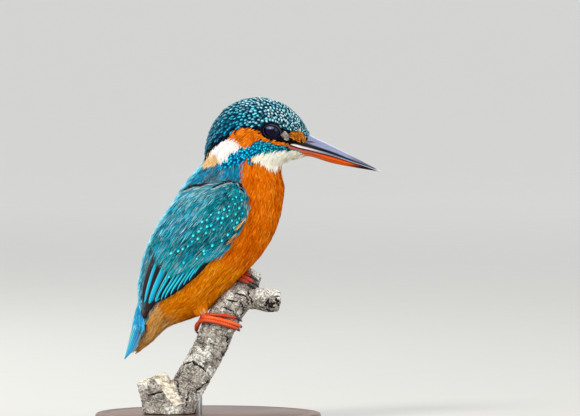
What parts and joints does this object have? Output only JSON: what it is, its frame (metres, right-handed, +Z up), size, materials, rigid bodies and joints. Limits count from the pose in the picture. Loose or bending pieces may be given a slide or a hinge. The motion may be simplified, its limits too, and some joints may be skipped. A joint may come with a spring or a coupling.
{
  "type": "perched female common kingfisher model",
  "caption": "Life-size still model of a female common kingfisher gripping a short cut branch, held up by a plain round display stand.",
  "frame": {"origin": "centre of the underside of the stand's round foot", "axes": "+X is the way the bird faces, +Y its left side, +Z up"},
  "size_m": [0.1318, 0.104, 0.1523],
  "materials": {
    "body_plumage": "soft matte feather coat, orange below and green-blue above",
    "wing_plumage": "satin green-blue feathers with pale turquoise spots",
    "flight_plumage": "satin azure feathers with dark centres",
    "upper_bill_horn": "satin black horn",
    "lower_bill_horn": "satin orange-red horn with a dark tip",
    "eye": "wet gloss, near black",
    "claw_horn": "satin black horn",
    "foot_skin": "fine-scaled coral red skin",
    "bark": "rough grey bark with pale lichen",
    "stand_wood": "satin oiled dark wood",
    "stand_metal": "satin steel"
  },
  "bodies": {
    "root": {"bill_lower": "lower_bill_horn", "bill_upper": "upper_bill_horn", "claw_hind_left": "claw_horn", "claw_hind_right": "claw_horn", "claw_inner_left": "claw_horn", "claw_inner_right": "claw_horn", "claw_middle_left": "claw_horn", "claw_middle_right": "claw_horn", "claw_outer_left": "claw_horn", "claw_outer_right": "claw_horn", "eye_left": "eye", "eye_right": "eye", "flight_feathers_left": "flight_plumage", "flight_feathers_right": "flight_plumage", "head": "body_plumage", "leg_left": "foot_skin", "leg_right": "foot_skin", "neck": "body_plumage", "perch": "bark", "stand_base": "stand_wood", "stand_rod": "stand_metal", "tail": "flight_plumage", "trunk": "body_plumage", "undertail": "body_plumage", "wing_left": "wing_plumage", "wing_right": "wing_plumage"}
  },
  "joints": []
}
